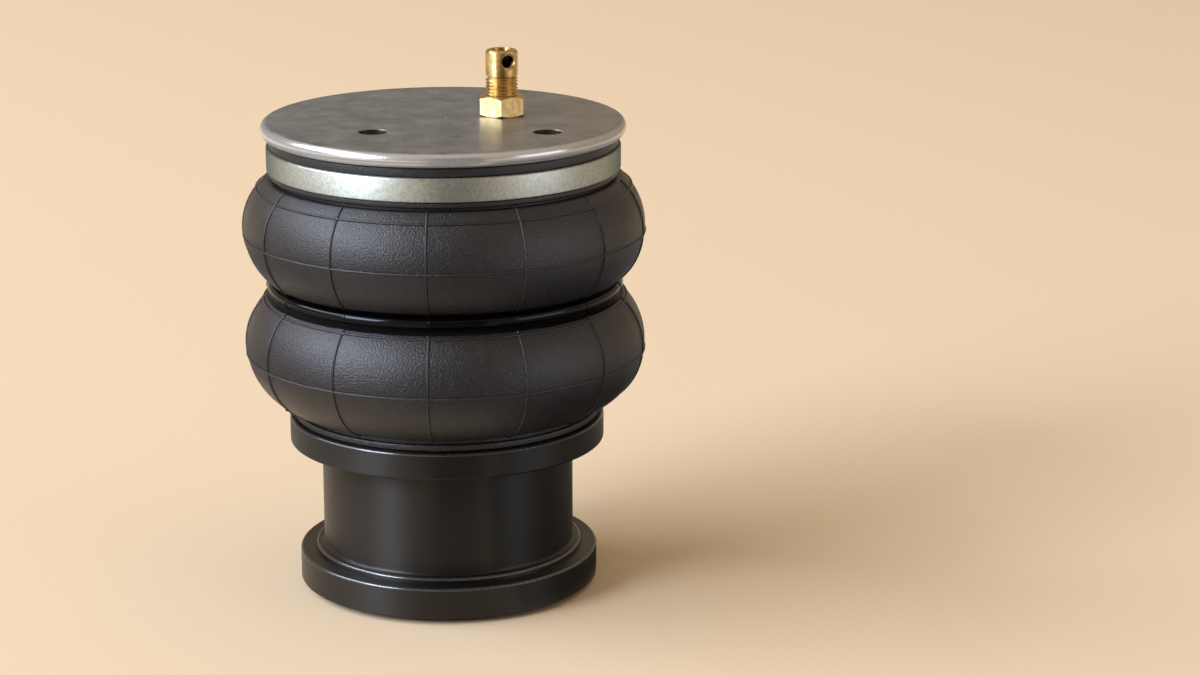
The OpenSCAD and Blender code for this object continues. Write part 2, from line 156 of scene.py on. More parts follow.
# Turned mild steel: bright grey with cloudy patches where the oil film has dried.
turned_steel, tree, shader, place = new_finish("turned_mild_steel", {"Metallic": 1.0})
cloud = add(tree, "ShaderNodeTexNoise", {"Vector": place, "Scale": 1 / (6 * mm), "Detail": 6})
shade = add(tree, "ShaderNodeMix", {0: cloud.outputs["Fac"], 6: linear("#8d8a84"), 7: linear("#b5b2ab")},
            data_type="RGBA")
sheen = add(tree, "ShaderNodeMapRange", {"Value": cloud.outputs["Fac"], "To Min": 0.25, "To Max": 0.45})
tree.links.new(shade.outputs[2], shader.inputs["Base Color"])
tree.links.new(sheen.outputs[0], shader.inputs["Roughness"])
for name in ("base_inserts", "dowel_pins", "pedestal_washers", "clamp_plate", "cuff_spigot",
             "port_boss", "mount_nut_left", "mount_nut_right"):
    dress(name, turned_steel)

# Bead wires: hoops of bronze coated steel wire, moulded into both ends of the rubber.
bronze, tree, shader, place = new_finish("bronze_coated_wire", {"Metallic": 1.0, "Roughness": 0.35})
film = add(tree, "ShaderNodeTexNoise", {"Vector": place, "Scale": 1 / (3 * mm), "Detail": 3})
shade = add(tree, "ShaderNodeMix", {0: film.outputs["Fac"], 6: linear("#8a6a3c"), 7: linear("#b08a52")},
            data_type="RGBA")
tree.links.new(shade.outputs[2], shader.inputs["Base Color"])
for name in ("lower_bead_wire", "upper_bead_wire"):
    dress(name, bronze)


# Bellows: one moulding of cord reinforced rubber with two round convolutions. Its lower bead is clamped
# on the seat flange, its upper cuff sits under the band, and the hoop lies in a pocket between them.
lobe_round = 24.6 * mm
lobe_pitch = 44 * mm
wall = 4 * mm
gap = 0.25 * mm
lip_height = 2.4 * mm
lip_depth = 1.3 * mm
upper_groove = 0.8 * mm
lower_groove = 1.5 * mm
shadow_gap = 0.6 * mm
pocket = 3.9 * mm
edge = 0.35 * mm
turns = 300

hoop_low, hoop_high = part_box("girdle_hoop")
band_low, band_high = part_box("clamp_band")
rubber_low, rubber_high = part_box("bellows")
waist = (hoop_low.z + hoop_high.z) / 2
hoop_round = (hoop_high.z - hoop_low.z) / 2
hoop_radius = hoop_high.x - hoop_round
lobe_radius = rubber_high.x - lobe_round
lower_lobe = waist - lobe_pitch / 2
upper_lobe = waist + lobe_pitch / 2
neck = hoop_radius - hoop_round - wall
pocket_radius = hoop_radius - hoop_round - gap + pocket


def arc(x, z, radius, start, end, steps):
    """Corners without rounding along an arc about (x, z), from start to end in degrees."""
    angles = [math.radians(start + (end - start) * i / steps) for i in range(steps + 1)]
    return [(x + radius * math.cos(a), z + radius * math.sin(a), 0.0) for a in angles]


def soften(corners, steps=4):
    """Closed outline of (radius, height) points, with each corner's rounding drawn as an arc."""
    outline = []
    for i, (x, z, rounding) in enumerate(corners):
        here = Vector((x, z))
        before = Vector(corners[i - 1][:2]) - here
        after = Vector(corners[(i + 1) % len(corners)][:2]) - here
        if rounding == 0:
            outline.append(here)
            continue
        half = before.angle(after) / 2
        reach = rounding / math.tan(half)
        middle = here + (before.normalized() + after.normalized()).normalized() * rounding / math.sin(half)
        first = here + before.normalized() * reach - middle
        last = here + after.normalized() * reach - middle
        for k in range(steps + 1):
            outline.append(middle + first.slerp(last, k / steps).normalized() * rounding)
    return outline


def lathe(name, outline, turns):
    """Turns a closed outline about Z into a closed mesh whose faces point outwards."""
    form = bmesh.new()
    rings = []
    for i in range(turns):
        angle = 2 * math.pi * i / turns
        rings.append([form.verts.new((p.x * math.cos(angle), p.x * math.sin(angle), p.y)) for p in outline])
    for i in range(turns):
        for k in range(len(outline)):
            form.faces.new((rings[i - 1][k - 1], rings[i][k - 1], rings[i][k], rings[i - 1][k]))
    bmesh.ops.recalc_face_normals(form, faces=form.faces)
    mesh = bpy.data.meshes.new(name)
    form.to_mesh(mesh)
    form.free()
    piece = bpy.data.objects.new(name, mesh)
    bpy.context.scene.collection.objects.link(piece)
    return piece


def inner_angle(x):
    """Angle in degrees at which a convolution's inner arc has the radius x."""
    return math.degrees(math.acos((x - lobe_radius) / (lobe_round - wall)))


# Where a convolution runs into the pocket that holds the hoop
reach = Vector((pocket_radius - lobe_radius, lobe_pitch / 2))
along = (lobe_round ** 2 - pocket ** 2 + reach.length ** 2) / (2 * reach.length)
across = math.sqrt(lobe_round ** 2 - along ** 2)
meeting = reach.normalized() * along + Vector((reach.y, -reach.x)).normalized() * across
meeting_angle = math.degrees(math.atan2(meeting.y, meeting.x))
pocket_angle = math.degrees(math.atan2(meeting.y - reach.y, meeting.x - reach.x))

seat = rubber_low.z - gap
spigot = 45.7 * mm + gap
bead = 57.5 * mm
clamp_low, clamp_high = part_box("clamp_plate")
clamp = clamp_high.x + gap
lip_low = seat + shadow_gap
groove_low = lip_low + lip_height
lobe_start = math.degrees(math.asin((groove_low + lower_groove - lower_lobe) / lobe_round))
lower_corners = [
    (bead - lip_depth, rubber_low.z, 0.0),
    (bead - lip_depth, lip_low, 0.0),
    (bead, lip_low, edge),
    (bead, groove_low, 2 * edge),
    (bead - lip_depth, groove_low, 0.0),
    (bead - lip_depth, groove_low + lower_groove, 0.0),
    *arc(lobe_radius, lower_lobe, lobe_round, lobe_start, meeting_angle, 90),
    *arc(pocket_radius, waist, pocket, pocket_angle, -180, 16),
    (neck, waist, 0.0),
    *arc(lobe_radius, lower_lobe, lobe_round - wall, inner_angle(neck), -inner_angle(clamp), 40),
    (clamp, clamp_low.z - gap, 0.0),
    (spigot, clamp_low.z - gap, 0.0),
    (spigot, rubber_low.z, 0.0),
]

cuff = 64.5 * mm
band_seat = band_high.x - 2 * mm - gap
cuff_inside = 59 * mm + gap
lip_bottom = band_low.z - lip_height
lobe_end = math.degrees(math.asin((lip_bottom - upper_groove - upper_lobe) / lobe_round))
upper_corners = [
    *arc(pocket_radius, waist, pocket, 180, -pocket_angle, 16),
    *arc(lobe_radius, upper_lobe, lobe_round, -meeting_angle, lobe_end, 90),
    (cuff - lip_depth, lip_bottom - upper_groove, 0.0),
    (cuff - lip_depth, lip_bottom, 0.0),
    (cuff, lip_bottom, 2 * edge),
    (cuff, band_low.z - gap, edge),
    (band_seat, band_low.z - gap, 0.0),
    (band_seat, band_high.z + gap, 0.0),
    (cuff, band_high.z + gap, edge),
    (cuff, rubber_high.z, edge),
    (cuff_inside, rubber_high.z, 0.0),
    *arc(lobe_radius, upper_lobe, lobe_round - wall, inner_angle(cuff_inside), -inner_angle(neck), 40),
    (neck, waist, 0.0),
]

# Moulded natural rubber: charcoal black with a fine sandy grain from the mould that glints in the light,
# faint grey bloom in cloudy patches and pale specks of dust. Real grain is about 0.3 mm; it is drawn at
# 0.6 mm to show.
grain = 0.6 * mm
bloom_patch = 9 * mm
rubber, tree, shader, place = new_finish(
    "moulded_natural_rubber", {"IOR": 1.72, "Specular Tint": linear("#f2f4ff")})
speck = add(tree, "ShaderNodeTexNoise", {"Vector": place, "Scale": 1 / grain, "Detail": 2, "Roughness": 0.6})
bloom = add(tree, "ShaderNodeTexNoise", {"Vector": place, "Scale": 1 / bloom_patch, "Detail": 6})
clouds = add(tree, "ShaderNodeMix", {0: bloom.outputs["Fac"], 6: linear("#060607"), 7: linear("#0c0c0d")},
             data_type="RGBA")
dust = add(tree, "ShaderNodeMapRange", {"Value": speck.outputs["Fac"], "From Min": 0.56, "From Max": 0.75,
                                        "To Min": 0.0, "To Max": 0.7})
shade = add(tree, "ShaderNodeMix", {0: dust.outputs[0], 6: clouds.outputs[2], 7: linear("#383b46")},
            data_type="RGBA")
sheen = add(tree, "ShaderNodeMapRange", {"Value": bloom.outputs["Fac"], "To Min": 0.35, "To Max": 0.43})
skin = add(tree, "ShaderNodeBump", {"Height": speck.outputs["Fac"], "Strength": 1.0, "Distance": 0.28 * mm})
tree.links.new(shade.outputs[2], shader.inputs["Base Color"])
tree.links.new(sheen.outputs[0], shader.inputs["Roughness"])
tree.links.new(skin.outputs[0], shader.inputs["Normal"])

# Mould lines: thin raised flash where the mould's segments met, thirteen up each convolution and two
# round it, with a small nib on the lower lip under each. They are part of the rubber.
line_width = 0.95 * mm
line_count = 13
line_turn = -92.3


def shape_tree(name, sizes):
    """A geometry tree with one named input for each size; returns it and the outputs of its input node."""
    tree = bpy.data.node_groups.new(name, "GeometryNodeTree")
    tree.interface.new_socket("Geometry", in_out="INPUT", socket_type="NodeSocketGeometry")
    for size, kind in sizes.items():
        tree.interface.new_socket(size, in_out="INPUT", socket_type="NodeSocket" + kind)
    tree.interface.new_socket("Geometry", in_out="OUTPUT", socket_type="NodeSocketGeometry")
    return tree, add(tree, "NodeGroupInput").outputs


def bake(piece, tree, values):
    """Runs a geometry tree on a piece with these sizes and keeps the result as its plain mesh."""
    modifier = piece.modifiers.new(tree.name, "NODES")
    modifier.node_group = tree
    for item in tree.interface.items_tree:
        if item.in_out == "INPUT" and item.name in values:
            modifier[item.identifier] = values[item.name]
    graph = bpy.context.evaluated_depsgraph_get()
    piece.data = bpy.data.meshes.new_from_object(piece.evaluated_get(graph))
    piece.modifiers.clear()


tree, size = shape_tree("mould_lines", {
    "Lobe radius": "Float", "Lobe height": "Float", "Lobe round": "Float", "Start": "Float",
    "Sweep": "Float", "Line width": "Float", "Line count": "Int", "Line turn": "Float",
    "Low ring": "Float", "High ring": "Float", "Lip foot": "Vector", "Lip top": "Vector",
    "Lip lines": "Int", "Finish": "Material",
})
section = add(tree, "GeometryNodeCurvePrimitiveCircle", {"Resolution": 8})
half_width = add(tree, "ShaderNodeMath", {0: size["Line width"], 1: 0.5}, operation="MULTIPLY")
tree.links.new(half_width.outputs[0], section.inputs["Radius"])
rib = add(tree, "GeometryNodeCurveArc", {"Resolution": 80, "Radius": size["Lobe round"],
                                         "Start Angle": size["Start"], "Sweep Angle": size["Sweep"]})
lobe_place = add(tree, "ShaderNodeCombineXYZ", {"X": size["Lobe radius"], "Z": size["Lobe height"]})
upright = add(tree, "GeometryNodeTransform", {
    "Geometry": rib.outputs["Curve"], "Rotation": (math.pi / 2, 0, 0), "Translation": lobe_place.outputs[0],
})
rib_skin = add(tree, "GeometryNodeCurveToMesh", {
    "Curve": upright.outputs[0], "Profile Curve": section.outputs["Curve"], "Fill Caps": True,
})
marks = add(tree, "GeometryNodePoints", {"Count": size["Line count"]})
index = add(tree, "GeometryNodeInputIndex")
step = add(tree, "ShaderNodeMath", {0: 2 * math.pi, 1: size["Line count"]}, operation="DIVIDE")
turn = add(tree, "ShaderNodeMath", {0: index.outputs[0], 1: step.outputs[0], 2: size["Line turn"]},
           operation="MULTIPLY_ADD")
heading = add(tree, "ShaderNodeCombineXYZ", {"Z": turn.outputs[0]})
ribs = add(tree, "GeometryNodeInstanceOnPoints", {"Points": marks.outputs[0], "Instance": rib_skin.outputs[0],
                                                  "Rotation": heading.outputs[0]})
nib_round = add(tree, "ShaderNodeMath", {0: size["Line width"], 1: 0.3}, operation="MULTIPLY")
nib = add(tree, "GeometryNodeCurvePrimitiveCircle", {"Resolution": 8, "Radius": nib_round.outputs[0]})
lip_line = add(tree, "GeometryNodeCurvePrimitiveLine", {"Start": size["Lip foot"], "End": size["Lip top"]})
lip_skin = add(tree, "GeometryNodeCurveToMesh", {"Curve": lip_line.outputs["Curve"],
                                                 "Profile Curve": nib.outputs["Curve"], "Fill Caps": True})
lip_marks = add(tree, "GeometryNodePoints", {"Count": size["Lip lines"]})
lip_ribs = add(tree, "GeometryNodeInstanceOnPoints", {
    "Points": lip_marks.outputs[0], "Instance": lip_skin.outputs[0], "Rotation": heading.outputs[0],
})
joined = add(tree, "GeometryNodeJoinGeometry")
for part in (size["Geometry"], ribs.outputs[0], lip_ribs.outputs[0]):
    tree.links.new(part, joined.inputs[0])
for ring in ("Low ring", "High ring"):
    over = add(tree, "ShaderNodeMath", {0: size[ring]}, operation="COSINE")
    out = add(tree, "ShaderNodeMath", {0: over.outputs[0], 1: size["Lobe round"], 2: size["Lobe radius"]},
              operation="MULTIPLY_ADD")
    up = add(tree, "ShaderNodeMath", {0: size[ring]}, operation="SINE")
    height = add(tree, "ShaderNodeMath", {0: up.outputs[0], 1: size["Lobe round"], 2: size["Lobe height"]},
                 operation="MULTIPLY_ADD")
    level = add(tree, "ShaderNodeCombineXYZ", {"Z": height.outputs[0]})
    circle = add(tree, "GeometryNodeCurvePrimitiveCircle", {"Resolution": 240, "Radius": out.outputs[0]})
    lifted = add(tree, "GeometryNodeTransform", {"Geometry": circle.outputs["Curve"],
                                                 "Translation": level.outputs[0]})
    ring_skin = add(tree, "GeometryNodeCurveToMesh", {"Curve": lifted.outputs[0],
                                                      "Profile Curve": section.outputs["Curve"]})
    tree.links.new(ring_skin.outputs[0], joined.inputs[0])
real = add(tree, "GeometryNodeRealizeInstances", {"Geometry": joined.outputs[0]})
coated = add(tree, "GeometryNodeSetMaterial", {"Geometry": real.outputs[0], "Material": size["Finish"]})
add(tree, "NodeGroupOutput", {"Geometry": coated.outputs[0]})
mould_lines = tree

for name, corners, height, ends, rings, lip_lines in (
    ("bellows_lower", lower_corners, lower_lobe, (lobe_start, meeting_angle), (-3 * mm, 17 * mm), line_count),
    ("bellows_upper", upper_corners, upper_lobe, (-meeting_angle, lobe_end), (-2 * mm, 15 * mm), 0),
):
    convolution = lathe(name, soften(corners), turns)
    convolution.data.set_sharp_from_angle(angle=math.radians(50))
    bake(convolution, mould_lines, {
        "Lobe radius": lobe_radius, "Lobe height": height, "Lobe round": lobe_round,
        "Start": math.radians(ends[0]), "Sweep": math.radians(ends[1] - ends[0]),
        "Line width": line_width, "Line count": line_count, "Line turn": math.radians(line_turn),
        "Low ring": math.asin(rings[0] / lobe_round), "High ring": math.asin(rings[1] / lobe_round),
        "Lip foot": Vector((bead, 0, lip_low)), "Lip top": Vector((bead, 0, lip_low + 0.6 * mm)),
        "Lip lines": lip_lines, "Finish": rubber,
    })
    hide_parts("bellows")

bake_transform(bpy.data.objects["bellows_lower"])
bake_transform(bpy.data.objects["bellows_upper"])

# A tag of flash that was left at the lower lip, on the left side
tag_turn = -174.7
tag_length = 3.7 * mm
tag_round = 0.65 * mm
tag = lathe("flash_tag", soften([
    (0.05 * mm, 0.0, 0.0),
    (0.6 * tag_round, 0.0, 0.0),
    (tag_round, tag_length, 0.5 * tag_round),
    (0.05 * mm, tag_length, 0.0),
]), 12)
tag.data.transform(
    Matrix.Rotation(math.radians(tag_turn), 4, "Z") @ Matrix.Translation((bead - edge, 0, lip_low + 0.6 * mm))
    @ Matrix.Rotation(math.pi / 2, 4, "Y"))
tag.data.materials.append(rubber)
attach(tag, "base")

# Girdle hoop: a ring of round steel bar in the pocket, which keeps the waist from growing.
# Gloss black coated steel: a smooth wet looking coat with a slight orange peel.
coat, tree, shader, place = new_finish("gloss_black_coated_steel", {
    "Base Color": linear("#040404"), "IOR": 1.38, "Specular Tint": linear("#dfeaff"),
})
peel = add(tree, "ShaderNodeTexNoise", {"Vector": place, "Scale": 1 / (2.5 * mm), "Detail": 2})
gloss = add(tree, "ShaderNodeMapRange", {"Value": peel.outputs["Fac"], "To Min": 0.1, "To Max": 0.16})
ripple = add(tree, "ShaderNodeBump", {"Height": peel.outputs["Fac"], "Strength": 0.15, "Distance": 0.02 * mm})
tree.links.new(gloss.outputs[0], shader.inputs["Roughness"])
tree.links.new(ripple.outputs[0], shader.inputs["Normal"])
dress("girdle_hoop", coat)

# Mould marks on the hoop's skin, in line with those of the convolutions
mark_width = 0.5 * mm
tree, size = shape_tree("hoop_marks", {
    "Hoop radius": "Float", "Hoop height": "Float", "Hoop round": "Float", "Mark width": "Float",
    "Mark count": "Int", "Mark turn": "Float", "Finish": "Material",
})
half_width = add(tree, "ShaderNodeMath", {0: size["Mark width"], 1: 0.5}, operation="MULTIPLY")
section = add(tree, "GeometryNodeCurvePrimitiveCircle", {"Resolution": 8, "Radius": half_width.outputs[0]})
ring = add(tree, "GeometryNodeCurveArc", {"Resolution": 32, "Radius": size["Hoop round"],
                                          "Start Angle": -math.pi / 2, "Sweep Angle": math.pi})
middle = add(tree, "ShaderNodeCombineXYZ", {"X": size["Hoop radius"], "Z": size["Hoop height"]})
upright = add(tree, "GeometryNodeTransform", {
    "Geometry": ring.outputs["Curve"], "Rotation": (math.pi / 2, 0, 0), "Translation": middle.outputs[0],
})
mark = add(tree, "GeometryNodeCurveToMesh", {
    "Curve": upright.outputs[0], "Profile Curve": section.outputs["Curve"], "Fill Caps": True,
})
points = add(tree, "GeometryNodePoints", {"Count": size["Mark count"]})
index = add(tree, "GeometryNodeInputIndex")
step = add(tree, "ShaderNodeMath", {0: 2 * math.pi, 1: size["Mark count"]}, operation="DIVIDE")
turn = add(tree, "ShaderNodeMath", {0: index.outputs[0], 1: step.outputs[0], 2: size["Mark turn"]},
           operation="MULTIPLY_ADD")
heading = add(tree, "ShaderNodeCombineXYZ", {"Z": turn.outputs[0]})
marks = add(tree, "GeometryNodeInstanceOnPoints", {"Points": points.outputs[0], "Instance": mark.outputs[0],
                                                   "Rotation": heading.outputs[0]})
real = add(tree, "GeometryNodeRealizeInstances", {"Geometry": marks.outputs[0]})
coated = add(tree, "GeometryNodeSetMaterial", {"Geometry": real.outputs[0], "Material": size["Finish"]})
add(tree, "NodeGroupOutput", {"Geometry": coated.outputs[0]})


def blank(name):
    """An object with an empty mesh, for a geometry tree to fill."""
    piece = bpy.data.objects.new(name, bpy.data.meshes.new(name))
    bpy.context.scene.collection.objects.link(piece)
    return piece


hoop_marks = blank("hoop_marks")
bake(hoop_marks, tree, {
    "Hoop radius": hoop_radius, "Hoop height": waist, "Hoop round": hoop_round, "Mark width": mark_width,
    "Mark count": line_count, "Mark turn": math.radians(line_turn), "Finish": coat,
})
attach(hoop_marks, "girdle")

# Clamp band: a strip of steel swaged round the cuff, zinc plated before it was fitted.
# Zinc plated steel: pale grey with a cold green cast, finely mottled with small dark specks, and a
# metallic glow that darkens to blue grey where the band turns away.
mottle_size = 1.1 * mm
speck_size = 1.6 * mm
zinc, tree, shader, place = new_finish("zinc_plated_steel", {
    "Metallic": 1.0, "Specular Tint": linear("#6f8386"), "Anisotropic": 0.7, "Anisotropic Rotation": 0.25,
})
mist = add(tree, "ShaderNodeTexNoise", {"Vector": place, "Scale": 1 / mottle_size, "Detail": 6,
                                        "Roughness": 0.65})
mottle = add(tree, "ShaderNodeMapRange", {"Value": mist.outputs["Fac"], "From Min": 0.3, "From Max": 0.7})
plating = add(tree, "ShaderNodeMix", {0: mottle.outputs[0], 6: linear("#bac4c2"), 7: linear("#e6eeea")},
              data_type="RGBA")
dots = add(tree, "ShaderNodeTexVoronoi", {"Vector": place, "Scale": 1 / speck_size, "Randomness": 1.0})
pits = add(tree, "ShaderNodeMapRange", {"Value": dots.outputs["Distance"], "From Min": 0.1, "From Max": 0.24,
                                        "To Min": 0.25, "To Max": 0.0})
shade = add(tree, "ShaderNodeMix", {0: pits.outputs[0], 6: plating.outputs[2], 7: linear("#55595a")},
            data_type="RGBA")
gloss = add(tree, "ShaderNodeMapRange", {"Value": mist.outputs["Fac"], "To Min": 0.38, "To Max": 0.52})
ripple = add(tree, "ShaderNodeBump", {"Height": mist.outputs["Fac"], "Strength": 0.3, "Distance": 0.03 * mm})
tree.links.new(shade.outputs[2], shader.inputs["Base Color"])
tree.links.new(gloss.outputs[0], shader.inputs["Roughness"])
tree.links.new(ripple.outputs[0], shader.inputs["Normal"])
around = add(tree, "ShaderNodeTangent", direction_type="RADIAL", axis="Z")
tree.links.new(around.outputs[0], shader.inputs["Tangent"])
band_thickness = 2 * mm
band_edge = 0.6 * mm
band = lathe("clamp_band_swaged", soften([
    (band_high.x - band_thickness, band_low.z, 0.0),
    (band_high.x, band_low.z, band_edge),
    (band_high.x, band_high.z, band_edge),
    (band_high.x - band_thickness, band_high.z, band_edge),
]), turns)
band.data.materials.append(zinc)
band.data.set_sharp_from_angle(angle=math.radians(50))
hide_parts("clamp_band")
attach(band, "head")

# Top plate: a disc of rolled steel with a full round rim, pressed, drilled and tapped, with no coating.
# Rolled steel: a dull grey with cloudy mill stains, browner towards the right, fine streaks along the way it
# was rolled, a pale, less metallic satin rim whose colour paints a highlight all round it, and hole walls
# dark with oil and painted shade.
stain_patch = 11 * mm
streak_length = 12 * mm
streak_width = 0.6 * mm
browner_right_start = 8 * mm
browner_right_end = 62 * mm
rim_start = 65.6 * mm
rim_end = 66.7 * mm
mount_round = 5 * mm
steel, tree, shader, place = new_finish("rolled_steel", {
    "Anisotropic": 0.6, "Anisotropic Rotation": 0.25,
})
stains = add(tree, "ShaderNodeTexNoise", {"Vector": place, "Scale": 1 / stain_patch, "Detail": 7,
                                          "Roughness": 0.6})
grit = add(tree, "ShaderNodeTexNoise", {"Vector": place, "Scale": 1 / (0.6 * mm), "Detail": 3})
rolled = add(tree, "ShaderNodeVectorMath", {0: place, 1: (1 / streak_length, 1 / streak_width, 0)},
             operation="MULTIPLY")
streaks = add(tree, "ShaderNodeTexNoise", {"Vector": rolled.outputs[0], "Scale": 1.0, "Detail": 5,
                                           "Roughness": 0.65})
cloud = add(tree, "ShaderNodeMix", {0: 0.5, 2: stains.outputs["Fac"], 3: streaks.outputs["Fac"]})
cloud = add(tree, "ShaderNodeMix", {0: 0.35, 2: cloud.outputs[0], 3: grit.outputs["Fac"]})
cloud = add(tree, "ShaderNodeMapRange", {"Value": cloud.outputs[0], "From Min": 0.35, "From Max": 0.65})
side = add(tree, "ShaderNodeSeparateXYZ", {"Vector": place})
# The stains turn browner towards the right
browner_right = add(tree, "ShaderNodeMapRange", {"Value": side.outputs["X"], "From Min": browner_right_start,
                                        "From Max": browner_right_end})
browner_right = add(tree, "ShaderNodeMath", {0: browner_right.outputs[0], 1: stains.outputs["Fac"]}, operation="MULTIPLY")
flat = add(tree, "ShaderNodeVectorMath", {0: place, 1: (1, 1, 0)}, operation="MULTIPLY")
out = add(tree, "ShaderNodeVectorMath", {0: flat.outputs[0]}, operation="LENGTH")
# Painted highlight: the rim is paler and less metallic, so that it shows bright all round
rim = add(tree, "ShaderNodeMapRange", {"Value": out.outputs["Value"], "From Min": rim_start,
                                       "From Max": rim_end})
face = add(tree, "ShaderNodeMix", {0: cloud.outputs[0], 6: linear("#67707d"), 7: linear("#b8c5d6")},
           data_type="RGBA")
face = add(tree, "ShaderNodeMix", {0: browner_right.outputs[0], 6: face.outputs[2], 7: linear("#aea49c")},
           data_type="RGBA")
face = add(tree, "ShaderNodeMix", {0: rim.outputs[0], 6: face.outputs[2], 7: linear("#ccd1d7")},
           data_type="RGBA")
nearest = 1.0
for name in ("mount_nut_left", "mount_nut_right"):
    low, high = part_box(name)
    hole = Vector(((low.x + high.x) / 2, (low.y + high.y) / 2, 0))
    away = add(tree, "ShaderNodeVectorMath", {0: flat.outputs[0], 1: hole}, operation="DISTANCE")
    closer = add(tree, "ShaderNodeMath", {0: nearest, 1: away.outputs["Value"]}, operation="MINIMUM")
    nearest = closer.outputs[0]
# Painted shade with oil: the walls of the two tapped holes are darkened
oil_and_painted_shade = add(tree, "ShaderNodeMapRange", {"Value": nearest, "From Min": mount_round + 0.15 * mm,
                                         "From Max": mount_round + 0.4 * mm})
shade = add(tree, "ShaderNodeMix", {0: oil_and_painted_shade.outputs[0], 6: linear("#4a4743"), 7: face.outputs[2]},
            data_type="RGBA")
dull = add(tree, "ShaderNodeMapRange", {"Value": cloud.outputs[0], "To Min": 0.3, "To Max": 0.46})
gloss = add(tree, "ShaderNodeMix", {0: rim.outputs[0], 2: dull.outputs[0], 3: 0.24})
metal = add(tree, "ShaderNodeMapRange", {"Value": rim.outputs[0], "To Min": 1.0, "To Max": 0.74})
relief = add(tree, "ShaderNodeMath", {0: grit.outputs["Fac"], 1: streaks.outputs["Fac"]}, operation="ADD")
tooth = add(tree, "ShaderNodeBump", {"Height": relief.outputs[0], "Strength": 0.25, "Distance": 0.02 * mm})
tree.links.new(shade.outputs[2], shader.inputs["Base Color"])
tree.links.new(gloss.outputs[0], shader.inputs["Roughness"])
tree.links.new(metal.outputs[0], shader.inputs["Metallic"])
tree.links.new(tooth.outputs[0], shader.inputs["Normal"])
around = add(tree, "ShaderNodeTangent", direction_type="RADIAL", axis="Z")
lay = add(tree, "ShaderNodeMix", {0: rim.outputs[0], 4: (1, 0, 0), 5: around.outputs[0]}, data_type="VECTOR")
tree.links.new(lay.outputs[1], shader.inputs["Tangent"])
dress("top_plate", steel)

# Air fitting: a brass stem screwed through the plate into its boss, locked by a brass hexagon nut over
# a rubber ring. It is turned from bar, with a rolled thread, and left bright.
# Bright turned brass: warm yellow, sharply glossy, with faint brown tarnish on its faces, and dark brown
# painted shade inside its bore and hole that clears near the bore's mouth.
bore_shade = 4.1 * mm
bore_shade_end = 5.0 * mm
mouth_start = 1.7 * mm
mouth_end = 0.9 * mm
stem_low, stem_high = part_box("air_stem")
stem_round = (stem_high.x - stem_low.x) / 2
stem_axis = Vector(((stem_low.x + stem_high.x) / 2, (stem_low.y + stem_high.y) / 2, 0))
brass, tree, shader, place = new_finish("bright_turned_brass", {
    "Metallic": 1.0, "Anisotropic": 0.9, "Anisotropic Rotation": 0.25,
})
tarnish = add(tree, "ShaderNodeTexNoise", {"Vector": place, "Scale": 1 / (2.2 * mm), "Detail": 4})
film = add(tree, "ShaderNodeMapRange", {"Value": tarnish.outputs["Fac"], "From Min": 0.3, "From Max": 0.6})
bright = add(tree, "ShaderNodeMix", {0: film.outputs[0], 6: linear("#c8a05b"), 7: linear("#e6cb92")},
             data_type="RGBA")
aside = add(tree, "ShaderNodeVectorMath", {0: place, 1: stem_axis}, operation="SUBTRACT")
aside = add(tree, "ShaderNodeVectorMath", {0: aside.outputs[0], 1: (1, 1, 0)}, operation="MULTIPLY")
aside = add(tree, "ShaderNodeVectorMath", {0: aside.outputs[0]}, operation="LENGTH")
# Painted shade: dark brown inside the bore and the inner part of the cross hole, lighter at the bore's mouth
inside = add(tree, "ShaderNodeMapRange", {"Value": aside.outputs["Value"], "From Min": bore_shade,
                                          "From Max": bore_shade_end})
height = add(tree, "ShaderNodeSeparateXYZ", {"Vector": place})
mouth = add(tree, "ShaderNodeMapRange", {"Value": height.outputs["Z"], "From Min": stem_high.z - mouth_start,
                                         "From Max": stem_high.z - mouth_end})
unshaded = add(tree, "ShaderNodeMath", {0: inside.outputs[0], 1: mouth.outputs[0]}, operation="MAXIMUM")
shade = add(tree, "ShaderNodeMix", {0: unshaded.outputs[0], 6: linear("#3a2712"), 7: bright.outputs[2]},
            data_type="RGBA")
around = add(tree, "ShaderNodeTangent", direction_type="RADIAL", axis="Z")
tree.links.new(around.outputs[0], shader.inputs["Tangent"])
gloss = add(tree, "ShaderNodeMapRange", {"Value": tarnish.outputs["Fac"], "To Min": 0.31, "To Max": 0.37})
tree.links.new(shade.outputs[2], shader.inputs["Base Color"])
tree.links.new(gloss.outputs[0], shader.inputs["Roughness"])
dress("lock_nut", brass)
dress("stem_seal", rubber)

# The stem's turned form, with its bore, relief and rounded head, and the drilled and countersunk cross hole
bore = 3.8 * mm
head_height = 9.6 * mm
head_rounding = 1.3 * mm
relief_height = 0.6 * mm
stem_pitch = 1.25 * mm
thread_share = 0.6
cross_drop = 4 * mm
cross_round = 2.4 * mm
cross_turn = -62
countersink = 0.9 * mm
stem_root = stem_round - thread_share * stem_pitch
head_low = stem_high.z - head_height
stem = lathe("air_stem_turned", soften([
    (bore, stem_low.z, 0.0),
    (stem_root, stem_low.z, 0.0),
    (stem_root, head_low, 0.0),
    (stem_round, head_low, 0.25 * mm),
    (stem_round, stem_high.z, head_rounding),
    (bore, stem_high.z, 0.35 * mm),
], 8), 128)
stem.data.transform(Matrix.Translation(stem_axis))
drill = lathe("drill", soften([
    (0.01 * mm, 0.0, 0.0),
    (cross_round, 0.0, 0.0),
    (cross_round, stem_round - countersink, 0.0),
    (cross_round + 2 * countersink, stem_round + countersink, 0.0),
    (0.01 * mm, stem_round + countersink, 0.0),
]), 64)
